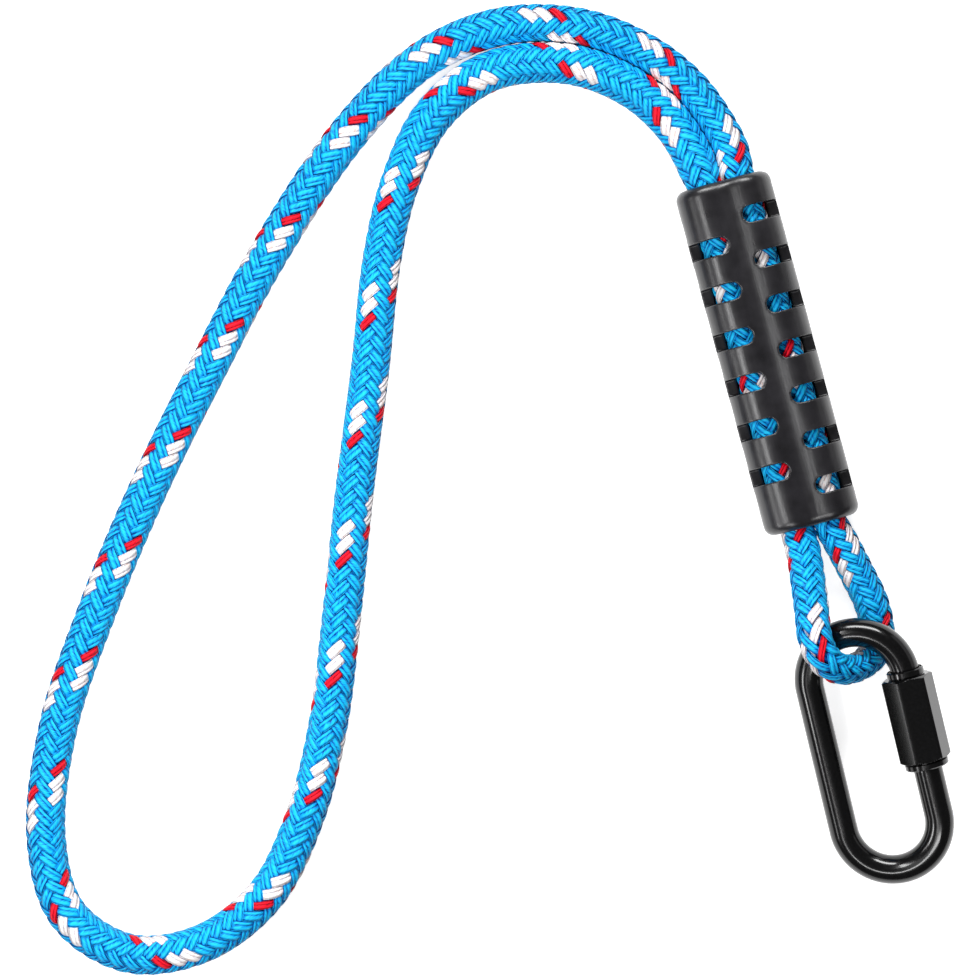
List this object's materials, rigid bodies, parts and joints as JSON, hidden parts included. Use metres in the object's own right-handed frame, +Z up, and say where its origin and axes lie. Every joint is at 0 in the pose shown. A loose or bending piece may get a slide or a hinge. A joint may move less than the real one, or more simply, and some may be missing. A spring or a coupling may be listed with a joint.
{
  "type": "tow rope handle",
  "caption": "Braided rope loop doubled through a slotted two-lobed grip sleeve, with a screw quick link hung in its lower bight.",
  "frame": {"origin": "middle of the underside of the whole object's box, on the surface it lies on", "axes": "+Y along the grip sleeve towards the big loop, +X across the grip away from the big loop, +Z up from the surface"},
  "size_m": [0.2992, 0.3084, 0.0305],
  "materials": {
    "rope_cover": "braided filament rope cover, bright blue with white and red tracer strands, soft sheen",
    "rope_core": "undyed braided core, matte",
    "whipping_twine": "waxed twine, wound tight",
    "grip_rubber": "moulded black rubber, satin with faint flow marks",
    "link_steel": "black plated steel, glossy"
  },
  "bodies": {
    "grip": {"grip_sleeve": "grip_rubber", "strand_left_cover": "rope_cover", "strand_left_core": "rope_core", "strand_right_lower_cover": "rope_cover", "strand_right_lower_core": "rope_core", "strand_right_upper_cover": "rope_cover", "strand_right_upper_core": "rope_core", "whipping_lower": "whipping_twine", "whipping_upper": "whipping_twine", "loop_neck_left_cover": "rope_cover", "loop_neck_left_core": "rope_core", "loop_neck_right_cover": "rope_cover", "loop_neck_right_core": "rope_core", "bight_neck_left_cover": "rope_cover", "bight_neck_left_core": "rope_core", "bight_neck_right_cover": "rope_cover", "bight_neck_right_core": "rope_core"},
    "loop": {"rope_loop_cover": "rope_cover", "rope_loop_core": "rope_core"},
    "bight": {"rope_bight_cover": "rope_cover", "rope_bight_core": "rope_core"},
    "link": {"link_body": "link_steel"},
    "nut_run": {"nut_lining": "link_steel"},
    "nut": {"nut_hex": "link_steel"}
  },
  "joints": [
    {"name": "loop_bend", "type": "hinge", "parent": "grip", "child": "loop", "pos_m": [0.12238, 0.10365, 0.00698], "axis": [0.5, 0.866, 0], "range_deg": [-45, 60], "deforming": ["loop_neck_left_cover", "loop_neck_left_core", "loop_neck_right_cover", "loop_neck_right_core"]},
    {"name": "bight_bend", "type": "hinge", "parent": "grip", "child": "bight", "pos_m": [0.12538, -0.04186, 0.01038], "axis": [1, 0, 0], "range_deg": [-35, 35], "deforming": ["bight_neck_left_cover", "bight_neck_left_core", "bight_neck_right_cover", "bight_neck_right_core"]},
    {"name": "link_swing", "type": "hinge", "parent": "bight", "child": "link", "pos_m": [0.12568, -0.08625, 0.01422], "axis": [-0.2503, -0.1011, 0.9629], "range_deg": [-50, 18]},
    {"name": "nut_travel", "type": "slide", "parent": "link", "child": "nut_run", "axis": [-0.022, -0.9937, -0.11], "range_m": [0, 0.012]},
    {"name": "nut_spin", "type": "hinge", "parent": "nut_run", "child": "nut", "pos_m": [0.14067, -0.10273, 0.01639], "axis": [-0.022, -0.9937, -0.11], "range_deg": [0, 2880]}
  ],
  "couplings": [
    {"joint": "nut_travel", "follows": "nut_spin", "m_per_rad": 0.00023873}
  ]
}
